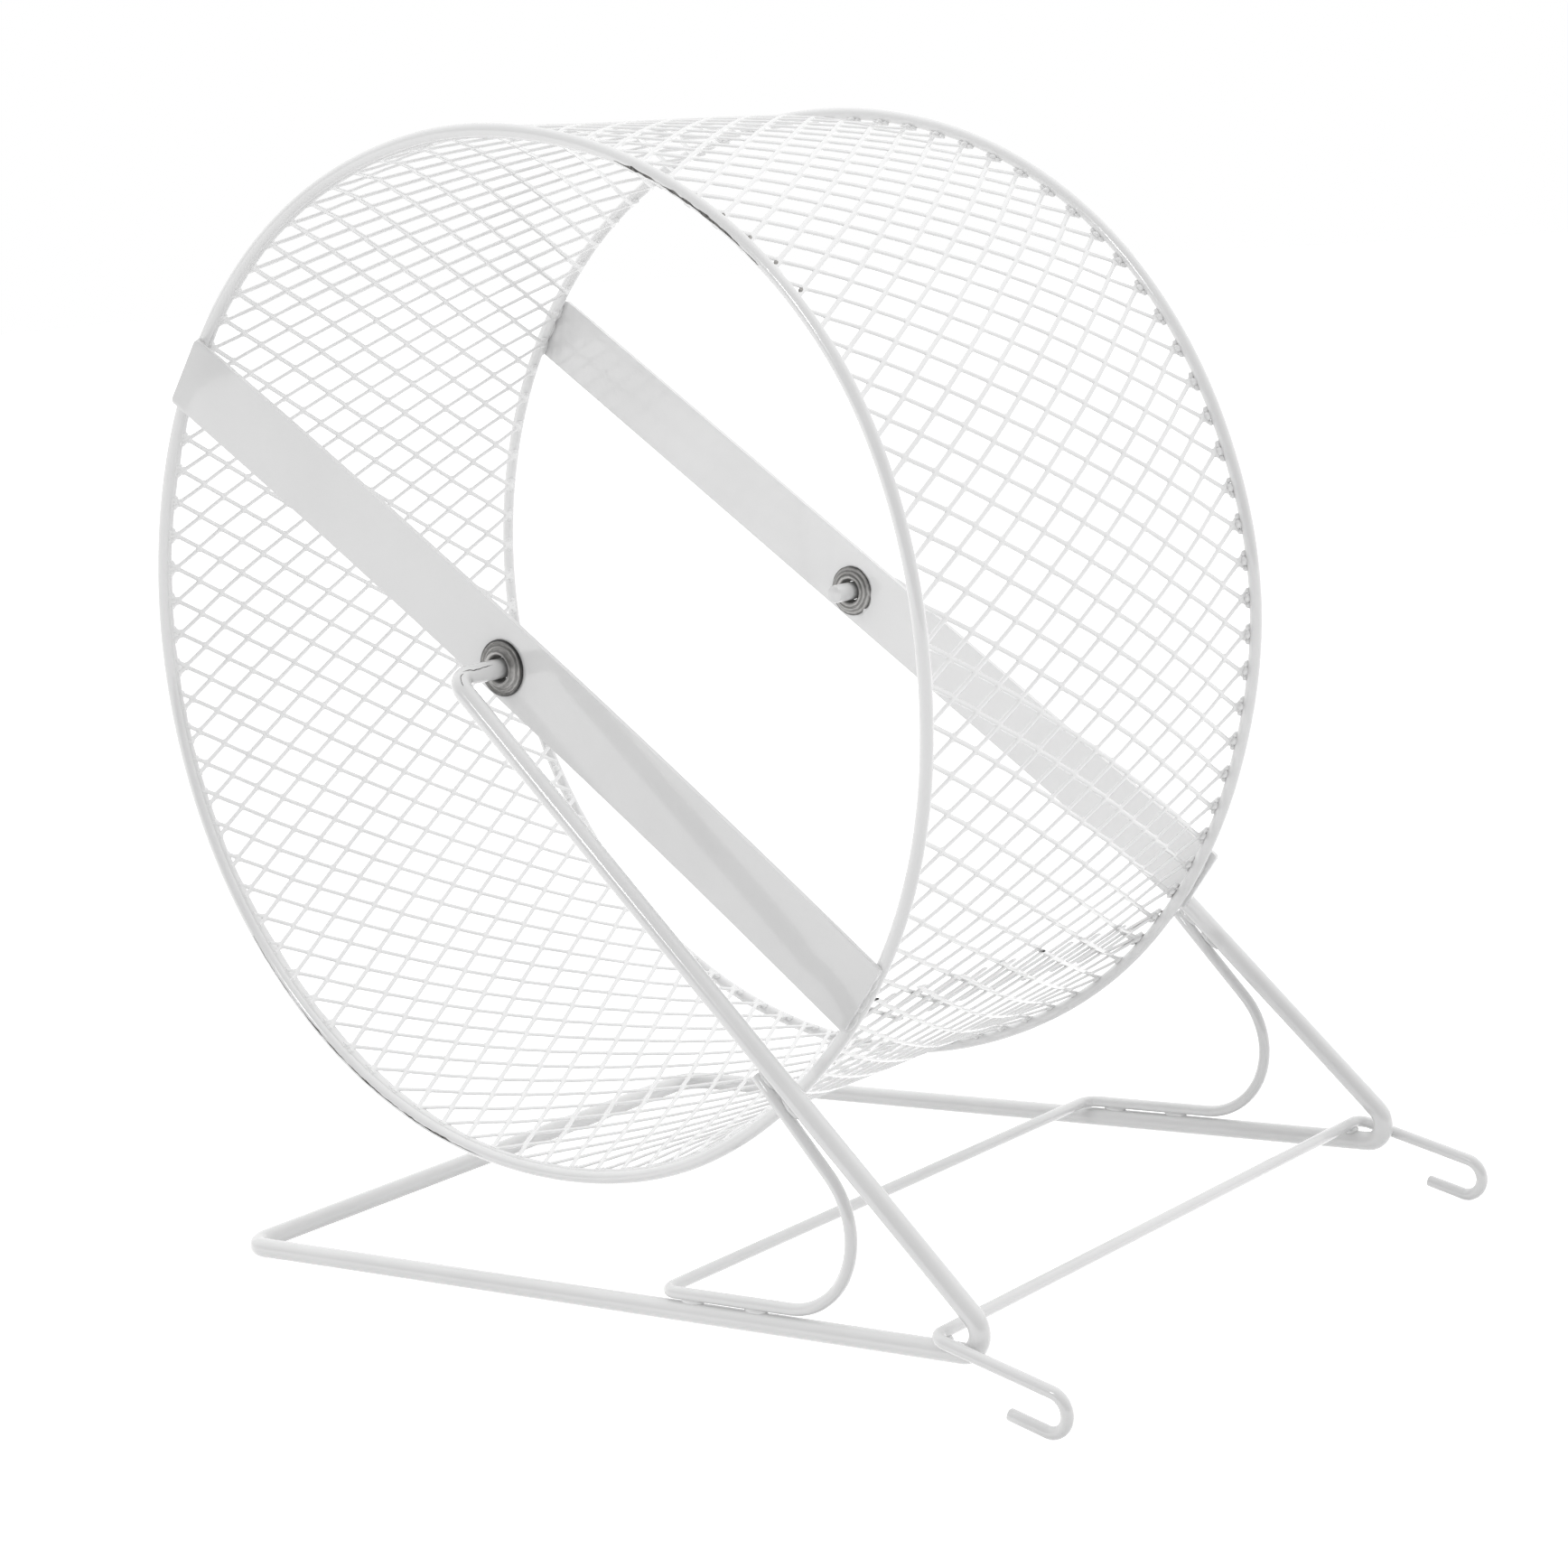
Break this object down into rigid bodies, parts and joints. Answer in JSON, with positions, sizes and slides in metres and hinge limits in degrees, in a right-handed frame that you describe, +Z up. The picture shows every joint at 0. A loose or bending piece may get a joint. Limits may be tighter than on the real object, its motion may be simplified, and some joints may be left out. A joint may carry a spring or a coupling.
{
  "type": "hamster wheel",
  "caption": "Exercise wheel for a small rodent: a running drum of rolled expanded metal between wire hoops, turning on a bent-wire stand that also hooks onto cage bars.",
  "frame": {"origin": "on the floor under the middle of the whole object, from the back of the wheel to the tips of the hooks", "axes": "+Z up, +Y along the axle from the front crossbar to the back one, +X from the open back of the stand to the hooks"},
  "size_m": [0.2333, 0.1456, 0.2208],
  "materials": {
    "white_coat": "semi-gloss white powder coat",
    "nickel": "bright nickel plate"
  },
  "bodies": {
    "stand": {"stand_wire": "white_coat", "brace_wire": "white_coat", "hook_wire": "white_coat"},
    "wheel": {"running_mesh": "white_coat", "front_hoop": "white_coat", "back_hoop": "white_coat", "front_crossbar": "white_coat", "back_crossbar": "white_coat", "front_eyelet": "nickel", "back_eyelet": "nickel"}
  },
  "joints": [
    {"name": "wheel_spin", "type": "hinge", "parent": "stand", "child": "wheel", "pos_m": [-0.01672, 0, 0.12087], "axis": [0, 1, 0], "continuous": true}
  ]
}
